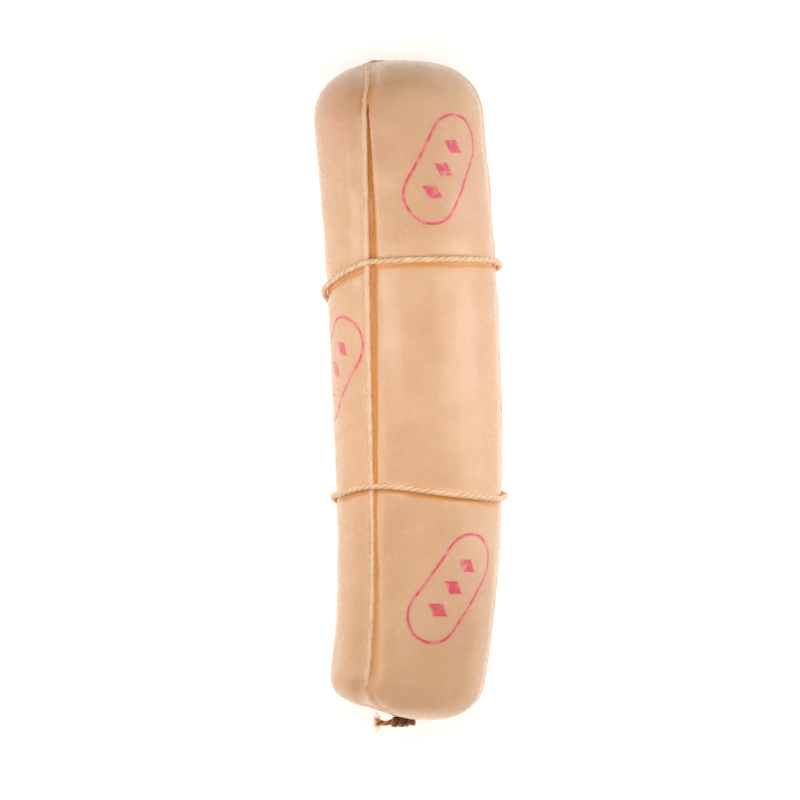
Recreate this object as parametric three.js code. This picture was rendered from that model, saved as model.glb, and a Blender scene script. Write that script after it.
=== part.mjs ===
// Provolone cheese in the long salame form: one solid log of stretched curd, dipped in wax and bound
// for hanging with two lengthwise cords, two hoops and the three knots that close them.
//
// Millimetres, +Z up. The log lies along Y on a narrow flat that its own weight has pressed, with the
// end that was uppermost as it hung towards +Y. The lower end, towards -Y, carries the main knot.
// Angles round the log are in degrees, start at the top (+Z) and grow towards +X.
import * as THREE from "three";

// ---- driving dimensions ----

const log = {
  upperEnd: 230.4, // Y of the upper end
  lowerEnd: -229.5, // Y of the lower end, before its slant
  radius: 60, // at the crown of a lobe, over the upper half
  taper: 5.3, // how much narrower the lower end is than the upper half
  taperFrom: 40, // Y where the taper starts
  flat: 1.5, // how deep the resting flat is pressed into the round
};
// Each end is a superellipse: fullness 2 is an ellipse, and more is squarer. It slants across by a share.
const upperCap = { depth: 44.4, fullness: 2.43, slantX: 0.03, slantFrom: 150 };
const lowerCap = { depth: 31, fullness: 2.8, slantX: 0.12, slantZ: 0.05, slantFrom: -150 };
const shortLobe = { by: 3.3, turns: [-118, -96, -41, -29], y: [-203, -220] }; // the left lobe ends early
const crossingX = -18; // of the cords on the upper end, from its middle
// Sideways bow of the axis: how far it drops from its crest to each end, and with what power of the way.
const bow = { crestX: 7.7, crestY: -80, upper: [14.2, 1.85], upperTo: 190, lower: [13.2, 2.35] };

const cord = { radius: 2.1, gap: 0.35, innerLift: 0.6, outerLift: 5.6, liftReach: 12 };
const furrow = { depth: 2.6, reach: 9.5 }; // the soft hollow along a cord
const furrowEnd = { upper: { depth: 5, reach: 3.5 }, lower: { depth: 8, reach: 7.5 } }; // and at a pole
const groove = { depth: 4, tight: [-3.6, -2.4], loose: [2.7, 6.6] }; // the cut that a cord lies in
const pinch = { depth: 0.4, reach: 9, bridge: 0.4, bridgeReach: 14 }; // what a hoop does to a lobe
const hoopSlot = { half: 2.6, edge: 4.2 }; // slot of a hoop that is pressed flush at the flat

// Where each lengthwise run lies, at the upper end, at the crest of the bow and at the lower end, and how
// deep its furrow is beside the others. Runs 0 and 2 are one cord and runs 1 and 3 are the other.
const runs = [
  { upper: -26, middle: -37.7, lower: -33.7, sunk: 1 },
  { upper: 84, middle: 86, lower: 85, sunk: 0.6 },
  { upper: 154, middle: 147, lower: 146, sunk: 1 },
  { upper: 256, middle: 254, lower: 258, sunk: 1 },
];

// Each hoop as [angle, Y] where it changes course, most of them over a run.
const hoops = {
  hoop_upper: [
    [-105, 62.5], [-88, 68.5], [-60, 76.6], [-39, 85], [-29, 88.2], [-8, 89.7], [34, 90.4], [73, 89.4],
    [92, 86], [148, 77], [235, 60],
  ],
  hoop_lower: [
    [-81, -74.4], [-66, -73.4], [-43, -68.7], [-20, -67.8], [1, -70.5], [28, -74], [62, -76.4], [80, -75.2],
    [148, -71], [240, -79],
  ],
};

const knot = {
  radius: 1.85, // of the cord where it is pulled tight
  flare: 1, // how much wider the last of a tail has frayed
  ring: 4.5, // radius of the ring that a knot winds round
  wave: 1.9, // how far it swings in and out of that ring
  rise: 2.35, // and over and under it
  open: 0.6, // how much of a lobe the tails take the place of, in radians on either side
  endY: -232.4,
  endTails: [
    [[4.6, 4.6, 1.6], [6.4, 6.6, 0.6], [8.2, 7.8, 0.2], [9.4, 8.4, 0.2]],
    [[-4.6, 4.8, -1.2], [-8, 7.2, 0.8], [-13, 8.2, 1.6], [-16.5, 8.4, 0.4], [-18.8, 8.4, -0.8]],
  ],
  hoopAngle: 226,
  hoopSeat: 5.95, // how high its middle lies over the middle of the hoop
  hoopTails: [
    [[4.4, 5, 1.5], [5.6, 9, 0], [6.4, 13, -1.2]],
    [[-4.4, 5, -1.2], [-6.4, 8.4, 0], [-9.5, 10.5, 0]],
  ],
};

// ---- how finely the solids are cut ----

const furrowColumns = [-9.5, -6, -3.6, -2.4, 2.7, 4.4, 6.6, 10]; // across a run
const lobeColumns = 6; // between two runs
const flatColumns = { quarter: 2, turns: [-12, -8, 8, 12], from: 0.7 }; // the lobe columns over the flat
const narrowest = 16; // the furrow columns stop drawing together at this radius
const capTurns = [2, 5, 9, 14, 21, 29, 38, 47, 57, 68, 79]; // degrees from the pole, on a cap
const hoopRows = [-15, -8.5, -4.2, -2.6, 2.6, 4.2, 8.5, 15]; // either side of a hoop
const barrelStep = 24;
const cordSides = 8;
const knotSides = 6;
const knotSteps = 34;

// ---- the log's surface ----

const degrees = THREE.MathUtils.degToRad;
const smooth = THREE.MathUtils.smoothstep;
const axisZ = log.radius - log.flat;
const upperCapFrom = log.upperEnd - upperCap.depth;
const lowerCapFrom = log.lowerEnd + lowerCap.depth;

function axisX(y) {
  const [end, [drop, power]] = y > bow.crestY ? [bow.upperTo, bow.upper] : [log.lowerEnd, bow.lower];
  return bow.crestX - drop * Math.min(1, (y - bow.crestY) / (end - bow.crestY)) ** power;
}

function barrelRadius(y) {
  const down = Math.max(0, (log.taperFrom - y) / (log.taperFrom - lowerCapFrom));
  return log.radius - (log.taper * down * down * 2) / (1 + down);
}

// A row is one ring of the surface: its radius, its Y and the way out of it, along R and Y.
function barrelRow(y) {
  return { radius: barrelRadius(y), y, outR: 1, outY: 0 };
}

// The row of a cap at a share of its width.
function capAt(cap, from, way, share) {
  const wide = barrelRadius(from);
  const along = (1 - share ** cap.fullness) ** (1 / cap.fullness);
  const steep = cap.fullness - 1;
  const out = new THREE.Vector2(share ** steep / wide, along ** steep / cap.depth).normalize();
  return { radius: wide * share, y: from + way * cap.depth * along, outR: out.x, outY: way * out.y };
}

const capRow = (cap, from, way, turn) =>
  capAt(cap, from, way, Math.sin(degrees(turn)) ** (2 / cap.fullness));
const upperRow = (turn) => capRow(upperCap, upperCapFrom, 1, turn);
const lowerRow = (turn) => capRow(lowerCap, lowerCapFrom, -1, turn);

function runAngle(run, y) {
  const [end, towards] = y > bow.crestY ? [upperCapFrom, run.upper] : [lowerCapFrom, run.lower];
  return run.middle + (towards - run.middle) * Math.min(1, (y - bow.crestY) / (end - bow.crestY)) ** 2;
}

// The Y of a hoop at an angle, by Catmull-Rom interpolation between its points, closed on itself.
function hoopY(points, angle) {
  const count = points.length;
  const start = points[0][0];
  const turned = THREE.MathUtils.euclideanModulo(angle - start, 360) + start;
  const i = points.findLastIndex((p) => p[0] <= turned);
  const at = (k) => points[THREE.MathUtils.euclideanModulo(k, count)];
  const next = i + 1 < count ? at(i + 1)[0] : start + 360;
  const t = (turned - at(i)[0]) / (next - at(i)[0]);
  const [a, b, c, d] = [at(i - 1)[1], at(i)[1], at(i + 1)[1], at(i + 2)[1]];
  return b + 0.5 * t * (c - a + t * (2 * a - 5 * b + 4 * c - d + t * (3 * (b - c) + d - a)));
}

const hoopMiddle = (points) => points.reduce((sum, p) => sum + p[1], 0) / points.length;

// Distance across a run, in mm along the surface, positive towards +angle.
function acrossRun(run, angle, radius, y) {
  const turn = THREE.MathUtils.euclideanModulo(angle - runAngle(run, y) + 180, 360) - 180;
  return degrees(turn) * radius;
}

const hollow = (distance, reach) => Math.exp(-((distance / reach) ** 2));
const beside = (distance) => Math.max(0, Math.abs(distance) - groove.loose[0]);

function grooveShape(distance) {
  const [outer, inner] = groove.tight;
  const [near, far] = groove.loose;
  return smooth(distance, outer, inner) * (1 - smooth(distance, near, far));
}

// Several hollows that run into each other, each from 0 to 1, as one from 0 to 1.
const merged = (shares) => 1 - shares.reduce((left, share) => left * (1 - share), 1);

// A furrow is one depth and reach along the barrel, and changes towards those of the pole.
function furrowAt(row, sunk = 1) {
  const end = row.y > 0 ? furrowEnd.upper : furrowEnd.lower;
  const share = Math.min(1, row.radius / barrelRadius(row.y));
  return {
    depth: THREE.MathUtils.lerp(end.depth, furrow.depth * sunk, share ** 2),
    reach: THREE.MathUtils.lerp(end.reach, furrow.reach, share),
  };
}

// How much sooner the left lobe ends than the right one, at the lower end.
function lobeShortfall(angle, row) {
  const turn = THREE.MathUtils.euclideanModulo(angle + 180, 360) - 180;
  const [from, full, fade, to] = shortLobe.turns;
  const within = smooth(turn, from, full) * (1 - smooth(turn, fade, to)) * smooth(row.radius, 4, 20);
  return shortLobe.by * within * (1 - smooth(row.y, shortLobe.y[1], shortLobe.y[0]));
}

// How far below the surface of a plain rounded log the wax lies.
function relief(angle, row) {
  const { depth, reach } = furrowAt(row);
  const distances = runs.map((run) => acrossRun(run, angle, row.radius, row.y));
  const shares = runs.map((run) => furrowAt(row, run.sunk).depth / depth);
  const soft = depth * merged(distances.map((d, i) => shares[i] * hollow(beside(d), reach)));
  const cut = groove.depth * merged(distances.map(grooveShape));
  let pressed = 0;
  let slot = 0;
  for (const points of Object.values(hoops)) {
    const away = Math.abs(row.y - hoopY(points, angle));
    pressed = Math.max(pressed, pinch.depth * hollow(away, pinch.reach));
    const inside = 1 - smooth(away, hoopSlot.half, hoopSlot.edge);
    const floor = hoopRadius(angle, row.y) - cord.radius - cord.gap;
    slot = Math.max(slot, inside * (row.radius - floor));
  }
  return Math.max(soft + cut + pressed + lobeShortfall(angle, row), slot);
}

// The radius at which a hoop's centreline lies: taut over the lobes, pressed flush at the flat.
function hoopRadius(angle, y) {
  const wide = barrelRadius(y);
  const dips = runs.map((run) => hollow(acrossRun(run, angle, wide, y), pinch.bridgeReach));
  const taut = wide - pinch.depth + cord.gap + cord.radius - pinch.bridge * merged(dips);
  const down = -Math.cos(degrees(angle));
  return down > 0 ? Math.min(taut, (axisZ - cord.radius - 0.1) / down) : taut;
}

// A point at an angle on a row, sunk below the plain surface by a depth. On the upper end the rows are
// drawn sideways to close round the crossing of the cords, and each point keeps to the same cap.
function placed(angle, row, depth) {
  let x = row.radius * Math.sin(degrees(angle));
  const z = row.radius * Math.cos(degrees(angle));
  let here = row;
  if (row.y > upperCapFrom) {
    const wide = barrelRadius(upperCapFrom);
    x += crossingX * (1 - (row.radius / wide) ** 2) ** 2;
    here = capAt(upperCap, upperCapFrom, 1, Math.hypot(x, z) / wide);
  }
  const inward = 1 - (depth * here.outR) / Math.max(here.radius, 0.01);
  const across = x * inward;
  const up = z * inward;
  const slanting = 1 - smooth(here.y, log.lowerEnd, lowerCap.slantFrom);
  const slant = slanting * (lowerCap.slantX * across + lowerCap.slantZ * up)
    - smooth(here.y, upperCap.slantFrom, log.upperEnd) * upperCap.slantX * across;
  return new THREE.Vector3(axisX(here.y) + across, here.y - depth * here.outY - slant, axisZ + up);
}

// ---- skins ----

// The faces between rings of points: open-ended rings are closed by a fan to the point at each end,
// and without end points the last ring joins the first.
function skin(rings, startPoint, endPoint) {
  const count = rings[0].length;
  const points = rings.flat();
  const at = (ring, i) => (ring % rings.length) * count + (i % count);
  const faces = [];
  for (let ring = 0; ring < rings.length - (startPoint ? 1 : 0); ring += 1) {
    for (let i = 0; i < count; i += 1) {
      faces.push(at(ring, i), at(ring, i + 1), at(ring + 1, i));
      faces.push(at(ring, i + 1), at(ring + 1, i + 1), at(ring + 1, i));
    }
  }
  if (startPoint) {
    points.push(startPoint, endPoint);
    for (let i = 0; i < count; i += 1) {
      faces.push(points.length - 2, at(0, i + 1), at(0, i));
      faces.push(points.length - 1, at(rings.length - 1, i), at(rings.length - 1, i + 1));
    }
  }
  const geometry = new THREE.BufferGeometry().setFromPoints(points).setIndex(faces);
  geometry.computeVertexNormals();
  return geometry;
}

// Rings of a round cord about its centres, each ring square to the cord and level with an out direction.
function cordRings(centres, outs, radiusAt, sides, closed) {
  const count = centres.length;
  const at = (i) => centres[closed ? (i + count) % count : THREE.MathUtils.clamp(i, 0, count - 1)];
  return centres.map((centre, i) => {
    const along = at(i + 1).clone().sub(at(i - 1)).normalize();
    const out = outs[i].clone().projectOnPlane(along).normalize();
    const side = new THREE.Vector3().crossVectors(along, out);
    return Array.from({ length: sides }, (_, k) => {
      const turn = (2 * Math.PI * (k + 0.5)) / sides;
      return centre.clone().addScaledVector(out, radiusAt(i) * Math.cos(turn))
        .addScaledVector(side, radiusAt(i) * Math.sin(turn));
    });
  });
}

// ---- the cheese ----

const columns = Array.from({ length: runs.length * (furrowColumns.length + lobeColumns) }, (_, k) => k);

// The angle of a column of the skin at a row. Each quarter starts with the columns of its run.
function columnAngle(column, row) {
  const perRun = furrowColumns.length + lobeColumns;
  const quarter = Math.floor(column / perRun);
  const place = column % perRun;
  const inDegrees = (mm) => THREE.MathUtils.radToDeg(mm / Math.max(row.radius, narrowest));
  const here = runAngle(runs[quarter], row.y);
  if (place < furrowColumns.length) return here + inDegrees(furrowColumns[place]);
  const last = quarter + 1 === runs.length;
  const next = runAngle(runs[last ? 0 : quarter + 1], row.y) + (last ? 360 : 0);
  const from = here + inDegrees(furrowColumns.at(-1));
  const to = next + inDegrees(furrowColumns[0]);
  const step = place - furrowColumns.length;
  const even = from + ((to - from) * (step + 1)) / (lobeColumns + 1);
  if (quarter !== flatColumns.quarter) return even;
  const full = barrelRadius(row.y);
  return THREE.MathUtils.lerp(even, flatAngle(step, to), smooth(row.radius, flatColumns.from * full, full));
}

// Along the barrel the resting lobe has columns on the flat's edges and middle, and evenly on from there.
function flatAngle(step, to) {
  const { turns } = flatColumns;
  if (step < turns.length) return 180 + turns[step];
  const from = 180 + turns.at(-1);
  return from + ((to - from) * (step - turns.length + 1)) / (lobeColumns - turns.length + 1);
}

// Rows near a hoop follow its course round the log, and straighten out away from it.
function followed(y, angle) {
  let shift = 0;
  for (const points of Object.values(hoops)) {
    const middle = hoopMiddle(points);
    shift += (hoopY(points, angle) - middle) * (1 - smooth(Math.abs(y - middle), 16, 60));
  }
  return y + shift;
}

function barrelStations() {
  const near = Object.values(hoops).flatMap((points) => hoopRows.map((mm) => hoopMiddle(points) + mm));
  const marks = [lowerCapFrom, ...near, upperCapFrom].sort((a, b) => a - b);
  return marks.flatMap((mark, i) => {
    const span = i + 1 < marks.length ? marks[i + 1] - mark : 0;
    const parts = Math.max(1, Math.round(span / barrelStep));
    return Array.from({ length: parts }, (_, k) => mark + (span * k) / parts);
  });
}

// Every row of the log from the lower end to the upper, each as a function of the angle.
const rowsAt = [
  ...capTurns.map((turn) => () => lowerRow(turn)),
  ...barrelStations().map((y) => (angle) => barrelRow(followed(y, angle))),
  ...capTurns.map((turn) => () => upperRow(turn)).reverse(),
];

function cheeseGeometry() {
  const pointOn = (angle, row) => {
    const point = placed(angle, row, relief(angle, row));
    point.z = Math.max(0, point.z);
    return point;
  };
  const rings = rowsAt.map((rowAt) => columns.map((column) => {
    const row = rowAt(columnAngle(column, rowAt(0)));
    return pointOn(columnAngle(column, row), row);
  }));
  return skin(rings, pointOn(0, lowerRow(0)), pointOn(0, upperRow(0)));
}

// ---- the cords ----

function cordDepth(row, sunk, lift) {
  const over = cord.radius + cord.gap + lift * hollow(row.radius, cord.liftReach);
  return furrowAt(row, sunk).depth + groove.depth - over;
}

// One cord, up one run from the lower end, over the upper end and down the run opposite.
function lengthwiseCord(up, down, lift) {
  const centres = [];
  const outs = [];
  const add = (angle, row, sunk) => {
    const depth = cordDepth(row, sunk, lift);
    const centre = placed(angle, row, depth);
    centres.push(centre);
    outs.push(placed(angle, row, depth - 1).sub(centre));
  };
  const along = (run, rows) => rows.forEach((rowAt) => {
    const row = rowAt(runAngle(run, rowAt(0).y));
    add(runAngle(run, row.y), row, run.sunk);
  });
  add(0, lowerRow(0), 1);
  along(up, rowsAt);
  add(0, upperRow(0), 1);
  along(down, rowsAt.toReversed());
  return skin(cordRings(centres, outs, () => cord.radius, cordSides, true));
}

function outwards(angle) {
  return new THREE.Vector3(Math.sin(degrees(angle)), 0, Math.cos(degrees(angle)));
}

function hoopPoint(points, angle) {
  const y = hoopY(points, angle);
  return placed(angle, barrelRow(y), barrelRadius(y) - hoopRadius(angle, y));
}

function hoopCord(points) {
  const middle = barrelRow(hoopMiddle(points));
  const angles = columns.map((column) => columnAngle(column, middle));
  const centres = angles.map((angle) => hoopPoint(points, angle));
  return skin(cordRings(centres, angles.map(outwards), () => cord.radius, cordSides, true));
}

// ---- the knots ----

// An overhand knot: a trefoil with one lobe opened into two tails. Across, along and out are its three
// directions, and each point of a tail is given along them from the middle of the knot.
function knotGeometry(middle, across, along, out, tails) {
  const local = (a, b, c) => middle.clone().addScaledVector(across, a).addScaledVector(along, b)
    .addScaledVector(out, c);
  const body = Array.from({ length: knotSteps + 1 }, (_, i) => {
    const turn = THREE.MathUtils.lerp(knot.open, 2 * Math.PI - knot.open, i / knotSteps);
    const wide = knot.ring + knot.wave * Math.cos(3 * turn);
    return local(wide * Math.sin(2 * turn), wide * Math.cos(2 * turn), knot.rise * Math.sin(3 * turn));
  });
  const [first, last] = tails.map((tail) => tail.map((point) => local(...point)));
  const centres = [...first.toReversed(), ...body, ...last];
  const outs = [out];
  for (let i = 1; i < centres.length; i += 1) {
    const step = centres[i].clone().sub(centres[i - 1]).normalize();
    outs.push(outs[i - 1].clone().projectOnPlane(step).normalize());
  }
  const radiusAt = (i) => knot.radius + (i === 0 || i === centres.length - 1 ? knot.flare : 0);
  return skin(cordRings(centres, outs, radiusAt, knotSides, false), centres[0], centres.at(-1));
}

function endKnot() {
  const pole = placed(0, lowerRow(0), 0);
  const middle = new THREE.Vector3(pole.x, knot.endY, pole.z);
  const [across, along, out] = [[1, 0, 0], [0, 0, 1], [0, -1, 0]].map((v) => new THREE.Vector3(...v));
  return knotGeometry(middle, across, along, out, knot.endTails);
}

// A hoop's knot sits on the hoop, low on the side that faces away.
function hoopKnot(points) {
  const here = hoopPoint(points, knot.hoopAngle);
  const across = hoopPoint(points, knot.hoopAngle + 2).sub(here).normalize();
  const out = outwards(knot.hoopAngle);
  const along = new THREE.Vector3().crossVectors(out, across).normalize();
  const middle = here.addScaledVector(out, knot.hoopSeat);
  return knotGeometry(middle, across, along, out, knot.hoopTails);
}

// ---- the whole ----

const wax = new THREE.MeshStandardMaterial({ color: 0xf0c8a0, roughness: 0.42, metalness: 0 });
const twine = new THREE.MeshStandardMaterial({ color: 0xf0cda6, roughness: 0.6, metalness: 0 });

function named(name, geometry, material) {
  const mesh = new THREE.Mesh(geometry, material);
  mesh.name = name;
  return mesh;
}

const provolone = new THREE.Group();
provolone.add(named("cheese", cheeseGeometry(), wax));
provolone.add(named("cord_lengthwise_inner", lengthwiseCord(runs[0], runs[2], cord.innerLift), twine));
provolone.add(named("cord_lengthwise_outer", lengthwiseCord(runs[1], runs[3], cord.outerLift), twine));
provolone.add(named("knot", endKnot(), twine));
for (const [name, points] of Object.entries(hoops)) {
  provolone.add(named(name, hoopCord(points), twine));
  provolone.add(named(`${name}_knot`, hoopKnot(points), twine));
}

// The frame's origin is under the middle of the object's box.
const box = new THREE.Box3().setFromObject(provolone);
provolone.position.set(-(box.min.x + box.max.x) / 2, -(box.min.y + box.max.y) / 2, -box.min.z);

export default provolone;
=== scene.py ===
import math
import bpy
import numpy as np
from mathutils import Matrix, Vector


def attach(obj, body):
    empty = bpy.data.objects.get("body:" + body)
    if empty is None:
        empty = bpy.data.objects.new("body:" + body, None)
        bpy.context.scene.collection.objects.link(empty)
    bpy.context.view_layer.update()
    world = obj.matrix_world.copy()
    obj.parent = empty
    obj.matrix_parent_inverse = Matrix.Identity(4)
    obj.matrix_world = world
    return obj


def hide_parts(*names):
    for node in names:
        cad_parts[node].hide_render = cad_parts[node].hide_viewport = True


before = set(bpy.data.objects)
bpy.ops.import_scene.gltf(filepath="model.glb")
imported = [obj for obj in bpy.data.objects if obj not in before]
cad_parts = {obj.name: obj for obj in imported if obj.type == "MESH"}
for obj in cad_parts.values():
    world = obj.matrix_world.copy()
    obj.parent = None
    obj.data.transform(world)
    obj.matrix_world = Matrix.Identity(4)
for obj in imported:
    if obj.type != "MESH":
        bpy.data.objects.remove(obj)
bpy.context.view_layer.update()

print("frame loaded:", len(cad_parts), "solids")

# Shapes are worked out in mm in the log's own place and moved into the frame by logShift.
# Angles round the log are in degrees, from the top and growing towards +X.
logShift = np.array([-1.921, 3.304, 0.0])


def smooth(x, low, high):
    # the 3t^2 - 2t^3 step from 0 at low to 1 at high
    t = np.clip((x - low) / (high - low), 0, 1)
    return t * t * (3 - 2 * t)


def bell(distance, reach):
    # 1 at no distance, falling as e to the minus (distance / reach) squared
    return np.exp(-((distance / reach) ** 2))


def mixed(a, b, share):
    # a where the share is 0, b where it is 1
    return a + (b - a) * share


def merged(shares):
    # several hollows, each from 0 to 1, that run into each other as one
    left = 1
    for share in shares:
        left = left * (1 - share)
    return 1 - left


def unit(vectors):
    return vectors / np.linalg.norm(vectors, axis=-1, keepdims=True)


def waves(a, b, lengthA, lengthB, count, seed, period=None):
    # a smooth random field from -1 to 1 or so: a sum of plane waves; with a period in a, it closes on itself
    rng = np.random.default_rng(seed)
    total = np.zeros(np.broadcast(a, b).shape)
    for _ in range(count):
        alongA = rng.normal() / lengthA
        if period:
            alongA = round(alongA * period) / period
        alongB = rng.normal() / lengthB
        total = total + np.sin(2 * math.pi * (alongA * a + alongB * b + rng.random()))
    return total / math.sqrt(count)


def linear(hexColour):
    # an sRGB hex value as the linear RGBA that Blender's sockets hold
    parts = [int(hexColour[i:i + 2], 16) / 255 for i in (1, 3, 5)]
    return [p / 12.92 if p <= 0.04045 else ((p + 0.055) / 1.055) ** 2.4 for p in parts] + [1.0]


def addNode(tree, kind, inputs=None, **settings):
    # a node with its settings, and for each input a value or the socket that feeds it
    node = tree.nodes.new(kind)
    for key, value in settings.items():
        setattr(node, key, value)
    for key, value in (inputs or {}).items():
        if isinstance(value, bpy.types.NodeSocket):
            tree.links.new(value, node.inputs[key])
        else:
            node.inputs[key].default_value = value
    return node


def newMaterial(name):
    material = bpy.data.materials.new(name)
    material.use_nodes = True
    material.node_tree.nodes.clear()
    return material, material.node_tree


def gridPiece(name, points, closedRows, poles=None, across=None, along=None, values=None):
    # A skin over rows of points that close round each row. Its rows close too, or fans to two poles shut it.
    # across and along are the UV coordinates of columns and rows, and values are floats for each point.
    rows, columns = points.shape[:2]
    bands = rows if closedRows else rows - 1
    r, c = np.meshgrid(np.arange(bands), np.arange(columns), indexing="ij")
    r, c = r.ravel(), c.ravel()
    corners = np.stack([np.stack([r, c], 1), np.stack([r, c + 1], 1),
                        np.stack([r + 1, c + 1], 1), np.stack([r + 1, c], 1)], 1)
    loops = (corners[..., 0] % rows) * columns + corners[..., 1] % columns
    sizes = np.full(len(loops), 4)
    verts = points.reshape(-1, 3)
    loops = loops.ravel()
    corners = corners.reshape(-1, 2)
    if poles is not None:
        count = len(verts)
        verts = np.vstack([verts, np.asarray(poles)])
        i = np.arange(columns)
        nextI = (i + 1) % columns
        last = (rows - 1) * columns
        start = np.stack([np.full(columns, count), nextI, i], 1)
        end = np.stack([np.full(columns, count + 1), last + i, last + nextI], 1)
        loops = np.concatenate([loops, start.ravel(), end.ravel()])
        sizes = np.concatenate([sizes, np.full(2 * columns, 3)])
        startUv = np.stack([np.stack([0 * i, i], 1), np.stack([0 * i, i + 1], 1), np.stack([0 * i, i], 1)], 1)
        endUv = np.stack([np.stack([0 * i, i], 1), np.stack([0 * i, i], 1), np.stack([0 * i, i + 1], 1)], 1)
        endUv[..., 0] = rows - 1
        corners = np.concatenate([corners, startUv.reshape(-1, 2), endUv.reshape(-1, 2)])
    mesh = bpy.data.meshes.new(name)
    mesh.vertices.add(len(verts))
    mesh.vertices.foreach_set("co", ((verts + logShift) * 0.001).astype(np.float32).ravel())
    mesh.loops.add(len(loops))
    mesh.loops.foreach_set("vertex_index", loops.astype(np.int32))
    mesh.polygons.add(len(sizes))
    starts = np.concatenate([[0], np.cumsum(sizes)[:-1]])
    mesh.polygons.foreach_set("loop_start", starts.astype(np.int32))
    mesh.polygons.foreach_set("use_smooth", np.ones(len(sizes), bool))
    if across is not None:
        uv = mesh.uv_layers.new(name="unrolled")
        uv.data.foreach_set("uv", np.stack([across[corners[:, 1]], along[corners[:, 0]]], 1)
                            .astype(np.float32).ravel())
    for key, value in (values or {}).items():
        value = np.asarray(value, np.float32)
        isVector = value.ndim == 3
        flat = value.reshape(-1, value.shape[-1]) if isVector else value.ravel()
        extra = len(verts) - len(flat)
        if extra:
            flat = np.concatenate([flat, np.repeat(flat[-1:], extra, 0)])
        layer = mesh.attributes.new(key, "FLOAT_VECTOR" if isVector else "FLOAT", "POINT")
        layer.data.foreach_set("vector" if isVector else "value", flat.ravel())
    mesh.update(calc_edges=True)
    mesh.validate()
    piece = bpy.data.objects.new(name, mesh)
    bpy.context.scene.collection.objects.link(piece)
    return piece


def finishPiece(piece, material, slot, *nodes):
    piece.data.materials.append(material)
    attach(piece, "root")
    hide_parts(*nodes)
    print("made", piece.name, "for", ", ".join(nodes))


log = {
    "upperEnd": 230.4, "lowerEnd": -229.5, "radius": 60.0, "taper": 5.3, "taperFrom": 40.0, "flat": 1.5,
    "upperCap": (44.4, 2.43), "lowerCap": (31.0, 2.8),  # depth and fullness of each end
    "slantX": 0.12, "slantZ": 0.05, "slantFrom": -150.0,  # the lower end's slant
    "upperSlantX": 0.03, "upperSlantFrom": 150.0,
    # the left lobe ends early: by how much, and from where to where in angle, Y and radius
    "shortLobe": (3.3, (-118, -96, -41, -29), (-203, -220), (4, 20)),
    # the left lobe's lower corner is full: by how much, and round which angle and Y, each with its reach
    "corner": (1.9, (-80.0, 32.0), (-217.6, 6.4)),
    "crossingX": -18.0,  # of the cords on the upper end, from its middle
    # sideways bow of the axis: how far it drops from its crest to each end, and with what power of the way
    "crestX": 7.7, "crestY": -80.0, "upperBow": (14.2, 1.85), "upperTo": 190.0, "lowerBow": (13.2, 2.35),
    "furrow": (2.6, 9.5), "upperFurrow": (5.0, 3.5), "lowerFurrow": (8.0, 7.5),  # depth and reach
    "furrowFloor": 2.7,  # half the width of its floor
    "cordBed": 4.0,  # how far a cord's bed lies below its furrow
    # beside a cord the wax climbs one side and leaves a groove open on the other: how high, where and how far
    # across it climbs, where the groove opens, and at each Y where it closes, how deep it is and how dark its
    # painted shade is
    "climb": (0.42, -1.3, 2.5), "tight": (-1.0, 0.3),
    # the groove's far edge wanders and the climb ripples: by how much, over what length, and the seed
    "wander": (0.35, 55, 4), "ripple": (0.3, 7, 5),
    "groove": {"y": (-206, -150, -85, -60, -37, 1, 40, 80, 116, 150, 188, 203),
               "near": (4.6, 3.6, 3.0, 3.9, 4.5, 5.4, 5.6, 5.7, 5.4, 4.0, 3.2, 2.6),
               "far": (14.0, 9.5, 6.4, 8.4, 9.2, 11.0, 11.9, 12.2, 11.0, 7.4, 5.2, 4.4),
               "depth": (1.0, 1.3, 1.5, 1.6, 1.6, 1.7, 1.8, 1.9, 2.1, 2.3, 2.3, 1.9),
               "shade": (0.3, 0.4, 0.5, 0.5, 0.5, 0.5, 0.54, 0.6, 0.64, 0.7, 0.9, 1.0)},
    # beyond the groove the wax of the shown lobe is rolled up: at each Y how far from the cord and how high
    "roll": {"y": (-190, -126, -85, -37, 20, 78, 104, 166, 195),
             "at": (11, 9.5, 12, 20, 19.2, 15.6, 13.3, 9.5, 8),
             "height": (0, 0.4, 0.3, 0.5, 0.7, 0.95, 0.95, 0.75, 0), "reach": 2.9},
    # towards each end wax fills the groove from Y to Y: to what depth at the crossing and away from it
    "upperFill": (197.0, 204.0), "lowerFill": (-198.0, -212.0), "fillDepth": (0.3, 2.6), "fillReach": 30.0,
    # how far a cord shows over the fill, and how far at the lower end, where it goes under from Y to Y
    "proud": 1.0, "buried": -0.6, "goesUnder": (-204.0, -214.0),
    # beside the cords the fill takes a golden painted shade: how much, its reach, and from Y to Y
    "endTint": (0.45, 4.4, 182.0, 204.0),
    "pressed": (0.4, 9.0),  # a hoop's press: depth and reach
    "film": (0.6, 2.2),  # the wax climbs the sides of a hoop: how high, and its reach
    "hoopSlot": (2.6, 4.2), "slotEdge": (0.4, 1.0),
    # the grid in mm: steps between rows, which are finer near a hoop and follow it, and how far from it
    # either begins and ends to fade
    "rowStep": 1.75, "hoopRowStep": 0.7, "capStep": 1.9, "fineWithin": (5, 9), "followWithin": (16, 60),
    "lobeColumns": 28, "narrowest": 30.0,
    # shallow dents: depth, length and girth in mm, from radius to radius they begin, and how far they rise
    "dents": 0.32, "dentLength": 62.0, "girth": 377.0, "dentsFrom": (8, 40), "dentsRise": -0.5,
    # below each hoop a shallow crease with a painted shadow: its middle and reach, depth and how dark
    "crease": (-3.5, 2.0, 0.3, 0.45),
}
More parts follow.
